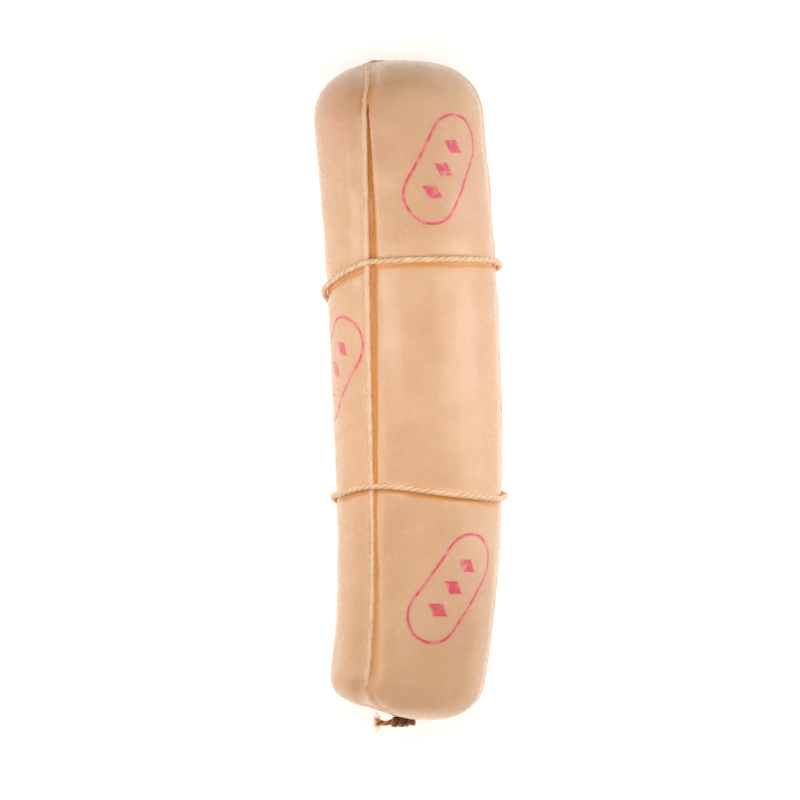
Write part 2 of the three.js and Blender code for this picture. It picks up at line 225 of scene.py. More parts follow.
# At the crossings the outer cord is lifted over the inner one, and over a furrow a hoop draws in by bridge.
# Under the log a hoop's route keeps restGap off the ground, and its skin groundGap.
cord = {
    "radius": 2.1, "waxed": 2.4, "gap": 0.35, "restGap": 0.1, "groundGap": 0.05, "girth": 13.2,
    "innerLift": 0.6, "outerLift": 5.6, "liftReach": 12.0, "crossingReach": 5.2, "bridge": (0.4, 14.0),
    "sway": (0.12, 24), "rowStep": 1.0,
}
# each lengthwise run's angle at the upper end, the bow's crest and the lower end, and its furrow's share
runs = [(-26, -37.7, -33.7, 1), (84, 86, 85, 0.6), (154, 147, 146, 1), (256, 254, 258, 1)]
hoops = {
    "hoop_upper": [(-105, 62.5), (-88, 68.5), (-60, 76.6), (-39, 85), (-29, 88.2), (-8, 89.7), (34, 90.4),
                   (73, 89.4), (92, 86), (148, 77), (235, 60)],
    "hoop_lower": [(-81, -74.4), (-66, -73.4), (-43, -68.7), (-20, -67.8), (1, -70.5), (28, -74), (62, -76.4),
                   (80, -75.2), (148, -71), (240, -79)],
}
# how far the grid's columns lie from a run, in mm along the surface
furrowColumns = np.array([
    -13, -10.8, -8.9, -7.2, -5.8, -4.6, -3.7, -3.1, -2.7, -2.35, -2.0, -1.65, -1.2, -0.6, 0, 0.8, 1.6, 2.2,
    2.6, 3.0, 3.5, 4.0, 4.5, 5.0, 5.5, 6.0, 6.6, 7.2, 7.8, 8.4, 9.0, 9.6, 10.3, 11.1, 12.1, 13.3, 14.8])

axisZ = log["radius"] - log["flat"]
upperFrom = log["upperEnd"] - log["upperCap"][0]
lowerFrom = log["lowerEnd"] + log["lowerCap"][0]


def axisX(y):
    # the axis bows: it drops from its crest by a power of the way to each end
    above = y > log["crestY"]
    end = np.where(above, log["upperTo"], log["lowerEnd"])
    drop, power = [np.where(above, a, b) for a, b in zip(log["upperBow"], log["lowerBow"])]
    return log["crestX"] - drop * np.minimum(1, (y - log["crestY"]) / (end - log["crestY"])) ** power


def barrelRadius(y):
    # the plain radius less the taper times 2 down^2 / (1 + down), where down grows to 1 at the lower cap
    down = np.maximum(0, (log["taperFrom"] - y) / (log["taperFrom"] - lowerFrom))
    return log["radius"] - log["taper"] * down ** 2 * 2 / (1 + down)


def capProfile(cap, start, way, turn):
    # a quarter superellipse from the pole (turn 0) to the barrel (turn 90): radius, y and the way out of it
    depth, fullness = cap
    wide = barrelRadius(start)
    across = np.sin(np.radians(turn)) ** (2 / fullness)
    ahead = np.cos(np.radians(turn)) ** (2 / fullness)
    outR, outY = across ** (fullness - 1) / wide, ahead ** (fullness - 1) / depth
    size = np.hypot(outR, outY)
    return np.stack([wide * across, start + way * depth * ahead, outR / size, way * outY / size], -1)


def capAt(cap, start, way, share):
    # the quarter superellipse at a share of its width
    depth, fullness = cap
    wide = barrelRadius(start)
    ahead = np.maximum(1 - share ** fullness, 0) ** (1 / fullness)
    outR, outY = share ** (fullness - 1) / wide, ahead ** (fullness - 1) / depth
    size = np.hypot(outR, outY)
    return np.stack([wide * share, start + way * depth * ahead, outR / size, way * outY / size], -1)


caps = ((log["lowerCap"], lowerFrom, -1), (log["upperCap"], upperFrom, 1))
poleRows = [capProfile(*cap, np.array([1e-4])) for cap in caps]


def capRows(cap, start, way, step):
    # a cap's rows at even steps along its curve
    turn = np.concatenate([np.geomspace(1e-4, 1, 400), np.linspace(1, 89.999, 2400)[1:]])
    fine = capProfile(cap, start, way, turn)
    length = np.concatenate([[0], np.cumsum(np.hypot(*np.diff(fine[:, :2], axis=0).T))])
    count = int(length[-1] / step)
    even = np.interp(np.linspace(0, length[-1], count + 1)[1:-1], length, turn)
    return capProfile(cap, start, way, even)


def barrelRows(y):
    y = np.asarray(y, float)
    return np.stack([barrelRadius(y), y, np.ones_like(y), np.zeros_like(y)], -1)


def runAngle(run, y):
    # a run turns away from its angle at the crest by the square of the way to each cap
    upper, middle, lower = run[:3]
    above = y > log["crestY"]
    share = np.minimum(1, (y - log["crestY"]) / (np.where(above, upperFrom, lowerFrom) - log["crestY"]))
    return middle + (np.where(above, upper, lower) - middle) * share ** 2


def hoopY(points, angle):
    # the Y of a hoop at an angle, by Catmull-Rom interpolation between its points, closed on itself
    angles = np.array([p[0] for p in points], float)
    ys = np.array([p[1] for p in points], float)
    count = len(points)
    turned = (angle - angles[0]) % 360 + angles[0]
    i = np.searchsorted(angles, turned, side="right") - 1
    reach = np.append(angles[1:], angles[0] + 360) - angles
    t = (turned - angles[i]) / reach[i]
    a, b, c, d = ys[(i - 1) % count], ys[i], ys[(i + 1) % count], ys[(i + 2) % count]
    return b + 0.5 * t * (c - a + t * (2 * a - 5 * b + 4 * c - d + t * (3 * (b - c) + d - a)))


def acrossRun(run, angle, radius, y):
    # mm along the surface from the middle of a run
    return np.radians((angle - runAngle(run, y) + 180) % 360 - 180) * radius


def furrowAt(rows, sunk=1):
    # a furrow's depth and reach: its end's at the pole, the barrel's at full width, mixed by the width
    y, radius = rows[..., 1], rows[..., 0]
    share = np.minimum(1, radius / barrelRadius(y))
    upper = (y > 0).astype(float)
    endDepth = mixed(log["lowerFurrow"][0], log["upperFurrow"][0], upper)
    endReach = mixed(log["lowerFurrow"][1], log["upperFurrow"][1], upper)
    return mixed(endDepth, log["furrow"][0] * sunk, share ** 2), mixed(endReach, log["furrow"][1], share)


def hoopRadius(angle, y):
    # taut over the lobes, drawn in a little over the furrows, pressed flush at the resting flat
    wide = barrelRadius(y)
    dips = merged([bell(acrossRun(run, angle, wide, y), cord["bridge"][1]) for run in runs])
    taut = wide - log["pressed"][0] + cord["gap"] + cord["radius"] - cord["bridge"][0] * dips
    down = np.maximum(-np.cos(np.radians(angle)), 1e-6)
    return np.where(down > 1e-5, np.minimum(taut, (axisZ - cord["radius"] - cord["restGap"]) / down), taut)


def placed(angle, rows, depth):
    # The point at an angle on a row, sunk below the plain surface by depth. On the upper end the rows are
    # drawn sideways to close round the crossing of the cords, and each point keeps to the same cap.
    angle = np.radians(angle)
    across, up = rows[..., 0] * np.sin(angle), rows[..., 0] * np.cos(angle)
    wide = barrelRadius(upperFrom)
    onCap = rows[..., 1] > upperFrom
    share = np.minimum(rows[..., 0] / wide, 1)
    across = across + np.where(onCap, log["crossingX"] * (1 - share ** 2) ** 2, 0)
    drawn = capAt(log["upperCap"], upperFrom, 1, np.minimum(np.hypot(across, up) / wide, 1))
    rows = np.where(onCap[..., None], drawn, rows)
    inward = 1 - depth * rows[..., 2] / np.maximum(rows[..., 0], 0.01)
    across, up, y = across * inward, up * inward, rows[..., 1]
    slanting = 1 - smooth(y, log["lowerEnd"], log["slantFrom"])
    slant = slanting * (log["slantX"] * across + log["slantZ"] * up)
    slant = slant - smooth(y, log["upperSlantFrom"], log["upperEnd"]) * log["upperSlantX"] * across
    return np.stack([axisX(y) + across, y - depth * rows[..., 3] - slant, axisZ + up], -1)


def filled(radius, y):
    # how far wax fills a cord's groove at a place, from 0 to 1, and to what depth below the plain log
    fill = np.where(y > 0, smooth(y, *log["upperFill"]), 1 - smooth(y, *log["lowerFill"][::-1]))
    return fill, mixed(*log["fillDepth"], smooth(radius, 0, log["fillReach"]))


def lobeShortfall(angle, rows):
    # how much sooner the left lobe ends than the right one, at the lower end
    by, (start, full, fade, stop), reach, radii = log["shortLobe"]
    turn = (angle + 180) % 360 - 180
    within = smooth(turn, start, full) * (1 - smooth(turn, fade, stop)) * smooth(rows[..., 0], *radii)
    return by * within * (1 - smooth(rows[..., 1], *reach[::-1]))


def waxRelief(angle, rows):
    # Depth below a plain rounded log: the soft furrows, the groove beside each cord, the wax that fills it
    # towards both ends, the press of the hoops with a film of wax up their sides, and shallow dents. Also how
    # much painted shade each point takes, from 0 to 1: in the groove, beside the cords towards the upper end
    # and in the crease below each hoop.
    radius, y = rows[..., 0], rows[..., 1]
    depth, reach = furrowAt(rows)
    spans = [acrossRun(run, angle, radius, y) for run in runs]
    wander, ripple = [by * waves(0 * angle, y, 1, length, 9, seed)
                      for by, length, seed in (log["wander"], log["ripple"])]
    fromFloor = [np.maximum(0, np.abs(d) - log["furrowFloor"]) for d in spans]
    soft = depth * merged([bell(d, reach) * furrowAt(rows, run[3])[0] / depth
                           for d, run in zip(fromFloor, runs)])
    near, far, deep, dark = [np.interp(y, log["groove"]["y"], log["groove"][key])
                             for key in ("near", "far", "depth", "shade")]
    cuts = [smooth(d, *log["tight"]) * (1 - smooth(d, near, far + wander * way))
            for d, way in zip(spans, (1, -1, -1, -1))]
    cut = merged(cuts)
    height, middle, width = log["climb"]
    climb = height * merged([bell(d - middle + ripple, width) for d in spans])
    rolledAt, rolled = [np.interp(y, log["roll"]["y"], log["roll"][key]) for key in ("at", "height")]
    climb = climb + rolled * bell(spans[0] - rolledAt, log["roll"]["reach"])
    fill, level = filled(radius, y)
    cut = cut * (1 - fill)
    total = soft + deep * cut - climb
    total = mixed(total, np.minimum(total, level), fill) + lobeShortfall(angle, rows)
    pressed, slot, crease = 0, 0, 0
    press, pressReach = log["pressed"]
    film, filmReach = log["film"]
    for points in hoops.values():
        above = y - hoopY(points, angle)
        away = np.abs(above)
        pressed = np.maximum(pressed, press * bell(away, pressReach) - film * bell(away, filmReach))
        inside = 1 - smooth(away, *log["hoopSlot"])
        under = radius - (hoopRadius(angle, y) - cord["radius"] - cord["gap"])
        slot = np.maximum(slot, inside * under * smooth(under, *log["slotEdge"]))
        # the crease below the hoop also takes the hoop's painted shadow
        crease = np.maximum(crease, bell(above - log["crease"][0], log["crease"][1]) * (1 - cut))
    girth, length = log["girth"], log["dentLength"]
    dents = log["dents"] * waves(angle / 360, y / girth, 0.9 * length / girth, length / girth, 40, 11, 1)
    dents = dents * smooth(radius, *log["dentsFrom"])
    full, (turn, turnReach), (middleY, yReach) = log["corner"]
    total = total - full * bell((angle - turn + 180) % 360 - 180, turnReach) * bell(y - middleY, yReach)
    total = total + pressed + log["crease"][2] * crease + np.maximum(dents, log["dentsRise"])
    total = np.maximum(total, slot)
    # painted shade beside the cords towards the upper end
    tint, tintReach, start, stop = log["endTint"]
    tint = tint * smooth(y, start, stop) * merged([bell(d, tintReach) for d in spans])
    return total, np.clip(np.maximum(np.maximum(cut * dark, tint), log["crease"][3] * crease), 0, 1)


def columnAngle(column, rows):
    # a column's angle: at its own distance from the run in a furrow, and evenly over the lobe between two
    perRun = len(furrowColumns) + log["lobeColumns"]
    quarter, place = column // perRun, column % perRun
    tops = np.array(runs + [tuple(a + 360 for a in runs[0][:3]) + (1,)], float)
    y = rows[..., 1]
    here = runAngle(np.moveaxis(tops[quarter], -1, 0), y)
    following = runAngle(np.moveaxis(tops[quarter + 1], -1, 0), y)
    scale = 180 / math.pi / np.maximum(rows[..., 0], log["narrowest"])
    start, stop = here + furrowColumns[-1] * scale, following + furrowColumns[0] * scale
    share = (place - len(furrowColumns) + 1) / (log["lobeColumns"] + 1)
    inFurrow = here + furrowColumns[np.minimum(place, len(furrowColumns) - 1)] * scale
    return np.where(place < len(furrowColumns), inFurrow, start + (stop - start) * share)


def followed(y, angle):
    # rows near a hoop follow its course, and straighten out away from it
    shift = 0
    for points in hoops.values():
        middle = np.mean([p[1] for p in points])
        share = 1 - smooth(np.abs(y - middle), *log["followWithin"])
        shift = shift + (hoopY(points, angle) - middle) * share
    return y + shift


def barrelStations():
    # the Y of the barrel's rows
    y = [lowerFrom]
    middles = [np.mean([p[1] for p in points]) for points in hoops.values()]
    while y[-1] < upperFrom - 1:
        near = min(abs(y[-1] - m) for m in middles)
        y.append(y[-1] + mixed(log["hoopRowStep"], log["rowStep"], float(smooth(near, *log["fineWithin"]))))
    return np.array(y[:-1])


# Stamps of pink ink, each in the place of a mark on the wax: angle and Y of its middle, and its tilt,
# which is how far its long axis leans from across the log towards along it, in degrees.
stamps = {
    "places": [(27, 154, 59), (-71, 15, 51), (26, -137, 56), (118, 20, 60), (205, 150, 60), (205, -140, 60)],
    "halfLength": 41.0, "halfWidth": 19.0, "stroke": 1.7, "diamondEvery": 18.5, "diamond": (5.2, 8.2),
    "fades": (52, 62),
}


def stampPlaces(angle, y, radius):
    # for each point its place in mm on the nearest stamp, along and across it, and 1 near it and 0 far away
    best = np.full(angle.shape, 1e9)
    out = np.zeros(angle.shape + (3,))
    for middle, middleY, tilt in stamps["places"]:
        u = np.radians((angle - middle + 180) % 360 - 180) * radius
        v = y - middleY
        distance = np.hypot(u, v)
        t = math.radians(tilt)
        here = np.stack([u * math.cos(t) + v * math.sin(t), -u * math.sin(t) + v * math.cos(t),
                         1 - smooth(distance, *stamps["fades"])], -1)
        nearer = distance < best
        out[nearer] = here[nearer]
        best = np.minimum(best, distance)
    return out


def buildCheese():
    lower, upper = [capRows(*cap, log["capStep"]) for cap in caps]
    stations = barrelStations()
    columns = np.arange(4 * (len(furrowColumns) + log["lobeColumns"]))
    flatRows = np.concatenate([lower, barrelRows(stations), upper[::-1]])
    onBarrel = np.zeros(len(flatRows), bool)
    onBarrel[len(lower):len(lower) + len(stations)] = True
    rows = np.repeat(flatRows[:, None, :], len(columns), 1)
    column = np.broadcast_to(columns, rows.shape[:2])
    angle = columnAngle(column, rows)
    moved = barrelRows(followed(rows[..., 1], angle))
    rows = np.where(onBarrel[:, None, None], moved, rows)
    angle = columnAngle(column, rows)
    depth, shade = waxRelief(angle, rows)
    points = placed(angle, rows, depth)
    points[..., 2] = np.maximum(points[..., 2], 0)
    ends = [placed(np.zeros(1), row, waxRelief(np.zeros(1), row)[0])[0] for row in poleRows]
    # UV in units of 100 mm
    across = np.append(angle[len(angle) // 2], angle[len(angle) // 2, 0] + 360) * log["girth"] / 360 / 100
    return gridPiece("waxed_cheese", points, False, ends, across, points[:, 0, 1] / 100,
                     {"crevice": shade, "stamp": stampPlaces(angle, rows[..., 1], rows[..., 0])})


# A three-strand laid string. strand and offset are one strand's radius and how far it lies from the middle,
# filled is the radius to which wax fills the crevices, and lay is the length of one full turn. soft rounds
# the crevices' edges, and they are fully shaded at the depth shaded. patchy and uneven say by how much the
# wax and the string's thickness vary, and over what length, and thickest is the limit.
twist = {
    "strand": 1.15, "offset": 0.95, "lay": 17.0, "sides": 32, "step": 0.75, "soft": 0.12, "shaded": 0.3,
    "filledLengthwise": 2.27, "filledHoop": 1.84, "filledKnot": 1.55, "patchy": (0.12, 14),
    "uneven": (0.035, 9), "thickest": 1.02,
}
# On the lengthwise strings the wax has left two thin beads: how high, how far round from the top in degrees,
# their reach, how far they wander, over what lengths and with what seeds, how much their height varies, and
# the painted shade between them, in crevices and on the beads, which are lighter as a painted highlight.
beads = {"height": 0.24, "at": (-33.0, 38.0), "reach": 12.0, "wander": 7.0, "sways": ((7, 5), (9, 6)),
         "uneven": 0.25, "shade": (0.62, 0.2, 0.7)}


def evenly(path, step, closed):
    # points at even steps along a path
    if closed:
        path = np.vstack([path, path[:1]])
    length = np.concatenate([[0], np.cumsum(np.linalg.norm(np.diff(path, axis=0), axis=1))])
    count = max(4, int(round(length[-1] / step)))
    at = np.linspace(0, length[-1], count + 1)
    if closed:
        at = at[:-1]
    return np.stack([np.interp(at, length, path[:, k]) for k in range(3)], 1), at, length[-1]


def stringSkin(centres, outs, at, total, closed, radius, filledTo, thicker=None, seed=0, beaded=False):
    # The section is the outline of three round strands, turned along the string by its lay.
    turns = round(total / twist["lay"])
    side = 2 * math.pi * np.arange(twist["sides"]) / twist["sides"]
    share, level = at[:, None] / total, 0 * side[None, :]
    phase = (side[None, :] + 2 * math.pi * turns * at[:, None] / total) % (2 * math.pi / 3)
    phase = phase - math.pi / 3
    a, c = twist["strand"], twist["offset"]
    ridge = c * np.cos(phase) + np.sqrt(a * a - (c * np.sin(phase)) ** 2)
    scale = radius / (a + c)
    shape = np.maximum(ridge * scale, 0)
    patchy, length = twist["patchy"]
    filledTo = np.minimum(filledTo + patchy * waves(share, level, length / total, 1, 20, seed + 7, 1), radius)
    # a smooth maximum of the strands and the wax
    shape = 0.5 * (shape + filledTo + np.sqrt((shape - filledTo) ** 2 + twist["soft"] ** 2))
    shape = shape * radius / shape.max()
    # how far into a crevice a point lies, which sets its painted shade
    crevice = np.clip((radius - shape) / twist["shaded"], 0, 1)
    if beaded:
        turned = np.degrees((side[None, :] + math.pi) % (2 * math.pi) - math.pi)
        along, other = [waves(share, level, length / total, 1, 24, seed + more, 1)
                        for length, more in beads["sways"]]
        left, right = beads["at"]
        left, right = left + beads["wander"] * along, right + beads["wander"] * other
        bead = (bell(turned - left, beads["reach"]) * mixed(1, other, beads["uneven"])
                + bell(turned - right, beads["reach"]) * mixed(1, along, beads["uneven"]))
        shape = shape - beads["height"] * (1 - bead)
        # on the beads the painted shade gives way to a painted highlight
        between, inCrevice, onBead = beads["shade"]
        crevice = between + inCrevice * crevice - onBead * bead
    uneven, length = twist["uneven"]
    uneven = 1 + uneven * waves(share, side[None, :] / (2 * math.pi), length / total, 0.6, 14, seed, 1)
    shape = shape * np.minimum(uneven, twist["thickest"])
    if thicker is not None:
        shape = shape * thicker[:, None]
    if closed:
        ahead = unit(np.roll(centres, -1, 0) - np.roll(centres, 1, 0))
    else:
        ahead = unit(np.gradient(centres, axis=0))
    outs = unit(outs - ahead * np.sum(outs * ahead, -1, keepdims=True))
    sides = np.cross(ahead, outs)
    points = (centres[:, None] + outs[:, None] * (shape * np.cos(side))[..., None]
              + sides[:, None] * (shape * np.sin(side))[..., None])
    return points, crevice


def aroundString(girth):
    # UV across a string, in mm round it
    return np.arange(twist["sides"] + 1) / twist["sides"] * girth


def wavering(centres, outs, at, total, seed):
    # a taut string is never quite straight: it wanders sideways a little
    sideways = unit(np.cross(unit(np.gradient(centres, axis=0)), outs))
    size, length = cord["sway"]
    shift = size * waves(at / total, 0 * at, length / total, 1, 18, seed, 1)
    return centres + sideways * shift[:, None]


def alongLoop(path, outward):
    # a closed path at even steps: its points, the ways out of it, the lengths so far and the whole length
    centres, at, total = evenly(path, twist["step"], True)
    where = np.concatenate([[0], np.cumsum(np.linalg.norm(np.diff(path, axis=0), axis=1))])
    return centres, unit(np.stack([np.interp(at, where, outward[:, k]) for k in range(3)], 1)), at, total


def buildLengthwise(name, up, down, lift, seed):
    # up one run and back down the other, over both poles
    lower, upper = [capRows(*cap, cord["rowStep"]) for cap in caps]
    rows = np.concatenate([lower, barrelRows(np.arange(lowerFrom, upperFrom, cord["rowStep"])), upper[::-1]])
    allRows = np.concatenate([poleRows[0], rows, poleRows[1], rows[::-1]])
    angle = np.concatenate([[0], runAngle(up, rows[:, 1]), [0], runAngle(down, rows[::-1, 1])])
    sunk = np.concatenate([np.full(len(rows) + 1, up[3]), np.full(len(rows) + 1, down[3])])
    depth = furrowAt(allRows, sunk)[0] + log["cordBed"]
    depth = depth - cord["radius"] - cord["gap"] - lift * bell(allRows[:, 0], cord["liftReach"])
    # towards both ends the string lies on the wax that fills its groove, except at the crossing
    fill = filled(allRows[:, 0], allRows[:, 1])[0]
    proud = mixed(log["buried"], log["proud"], smooth(allRows[:, 1], *log["goesUnder"][::-1]))
    onFill = waxRelief(angle, allRows)[0] + cord["waxed"] - proud
    depth = mixed(depth, onFill, fill * (1 - bell(allRows[:, 0], cord["crossingReach"])))
    path = placed(angle, allRows, depth)
    centres, outs, at, total = alongLoop(path, placed(angle, allRows, depth - 1) - path)
    centres = wavering(centres, outs, at, total, seed)
    points, crevice = stringSkin(centres, outs, at, total, True, cord["waxed"], twist["filledLengthwise"],
                                 None, seed, True)
    return gridPiece(name, points, True, None, aroundString(cord["girth"]), np.append(at, total),
                     {"crevice": crevice})


def buildHoop(name, course, seed):
    angle = np.arange(0, 360, 0.25)
    y = hoopY(course, angle)
    path = placed(angle, barrelRows(y), barrelRadius(y) - hoopRadius(angle, y))
    outward = np.stack([np.sin(np.radians(angle)), 0 * angle, np.cos(np.radians(angle))], 1)
    centres, outs, at, total = alongLoop(path, outward)
    points, crevice = stringSkin(centres, outs, at, total, True, cord["radius"], twist["filledHoop"], None,
                                 seed)
    points[..., 2] = np.maximum(points[..., 2], cord["groundGap"])  # pressed flat under the log
    return gridPiece(name, points, True, None, aroundString(cord["girth"]), np.append(at, total),
                     {"crevice": crevice})


# Overhand knots. flare is how much thicker the cut ends get and over what length. Tails are points in the
# knot's own three directions, which endWays gives for the end knot.
knots = {
    "radius": 1.85, "girth": 11.6, "flare": (0.5, 4.5), "ring": 4.5, "wave": 1.9, "rise": 2.35, "open": 0.6,
    "step": 0.45, "roundings": 10, "endY": -232.4, "endWays": [(1, 0, 0), (0, 0, 1), (0, -1, 0)],
    "endTails": [[(4.6, 4.6, 1.6), (6.4, 6.6, 0.6), (8.2, 7.8, 0.2), (9.4, 8.4, 0.2)],
                 [(-4.6, 4.8, -1.2), (-8, 7.2, 0.8), (-12, 8.2, 1.2), (-14.5, 8.4, 0.6), (-16, 8.4, 0.2)]],
    "hoopAngle": 226, "hoopSeat": 5.95,
    "hoopTails": [[(4.4, 5, 1.5), (5.6, 9, 0), (6.4, 13, -1.2)],
                  [(-4.4, 5, -1.2), (-6.4, 8.4, 0), (-9.5, 10.5, 0)]],
}
# the loose fibres at the cut end of the long tail: how many, their length and radii, how far across they
# start, how much they spread, stray and bend, and how far back in the tail they start
fray = {"count": 46, "length": (3.0, 6.2), "radius": (0.34, 0.1), "across": 1.3, "spread": 0.5, "stray": 0.15,
        "bend": 0.6, "back": 1.6, "rings": 6, "sides": 6}


def knotPath(tails):
    # an overhand knot: a trefoil with one lobe opened into two tails, in its own three directions
    turn = np.linspace(knots["open"], 2 * math.pi - knots["open"], 90)
    wide = knots["ring"] + knots["wave"] * np.cos(3 * turn)
    body = np.stack([wide * np.sin(2 * turn), wide * np.cos(2 * turn), knots["rise"] * np.sin(3 * turn)], 1)
    return np.concatenate([np.array(tails[0], float)[::-1], body, np.array(tails[1], float)])


def rounded(path, times):
    # rounds the corners of a path by averaging neighbours
    for _ in range(times):
        path = np.concatenate([path[:1], 0.25 * path[:-2] + 0.5 * path[1:-1] + 0.25 * path[2:], path[-1:]])
    return path


def buildKnot(name, middle, directions, tails, seed):
    path = evenly(knotPath(tails), knots["step"], False)[0]
    path, at, total = evenly(rounded(path, knots["roundings"]), knots["step"], False)
    centres = middle + path @ np.array(directions)
    ahead = unit(np.gradient(centres, axis=0))
    outs = np.broadcast_to(np.array(directions[2], float), centres.shape).copy()
    for i in range(1, len(outs)):  # carried along the string without turning about it
        outs[i] = outs[i - 1] - ahead[i] * np.dot(outs[i - 1], ahead[i])
        outs[i] /= np.linalg.norm(outs[i])
    flare, length = knots["flare"]
    flared = 1 + flare * (1 - smooth(np.minimum(at, total - at), 0, length))
    points, crevice = stringSkin(centres, outs, at, total, False, knots["radius"], twist["filledKnot"],
                                 flared, seed)
    return gridPiece(name, points, False, [centres[0], centres[-1]], aroundString(knots["girth"]), at,
                     {"crevice": crevice})


def buildFray(name, end, ahead, up, seed):
    rng = np.random.default_rng(seed)
    count, rings, sides = fray["count"], fray["rings"], fray["sides"]
    across = np.stack([np.asarray(up, float), np.cross(ahead, up)])
    spot = rng.normal(size=(count, 2))
    way = unit(ahead + (fray["spread"] * spot + fray["stray"] * rng.normal(size=(count, 2))) @ across)
    bend = fray["bend"] * rng.normal(size=(count, 2)) @ across
    length = rng.uniform(*fray["length"], count)
    t = np.linspace(0, 1, rings)
    line = (end - fray["back"] * np.asarray(ahead) + (fray["across"] * spot @ across)[:, None]
            + way[:, None] * (length[:, None] * t)[..., None] + bend[:, None] * (t ** 2)[None, :, None])
    turn = 2 * math.pi * np.arange(sides) / sides
    ring = np.stack([np.cos(turn), np.sin(turn)], 1) @ across
    verts = line[:, :, None] + ring * mixed(*fray["radius"], t)[None, :, None, None]
    first = (np.arange(count) * rings * sides)[:, None, None]
    r, s = np.meshgrid(np.arange(rings - 1), np.arange(sides), indexing="ij")
    after = (s + 1) % sides
    quads = np.stack([first + r * sides + s, first + r * sides + after,
                      first + (r + 1) * sides + after, first + (r + 1) * sides + s], -1).reshape(-1, 4)
    starts = first[:, 0] + np.arange(sides)[::-1]
    ends = first[:, 0] + (rings - 1) * sides + np.arange(sides)
    mesh = bpy.data.meshes.new(name)
    mesh.from_pydata(((verts.reshape(-1, 3) + logShift) * 0.001).tolist(), [],
                     quads.tolist() + starts.tolist() + ends.tolist())
    piece = bpy.data.objects.new(name, mesh)
    bpy.context.scene.collection.objects.link(piece)
    return piece


# The golden and dark orange wax colours are painted shade in the grooves and creases.
waxLook = {
    "body": "#DFB188", "paler": "#E8BE96", "pinker": "#E1AF90", "grooveShade": "#DA8F3C", "crevice": "#A9642B",
    "ink": "#E2566B", "inkHalo": "#F0928F", "roughness": 0.25, "ior": 1.5, "depth": 0.0035,
}
stringLook = {"ridge": "#FBDCBE", "crevice": "#EABA90", "roughness": 0.46, "ior": 1.45}
# the hoops' twine is the strings' own, a little darker: painted shade
hoopLook = {"ridge": "#F5D3B0", "crevice": "#E2B083", "roughness": 0.46, "ior": 1.45}
# the end knot's twine is darker than the other strings', and darker still towards +X: painted shade. To which
# colour it darkens, and from X to X in m
knotLook = {"ridge": "#DCA870", "crevice": "#94592F", "roughness": 0.38, "ior": 1.46,
            "knotShade": "#7A4838", "knotShadeFrom": (-0.017, -0.004)}


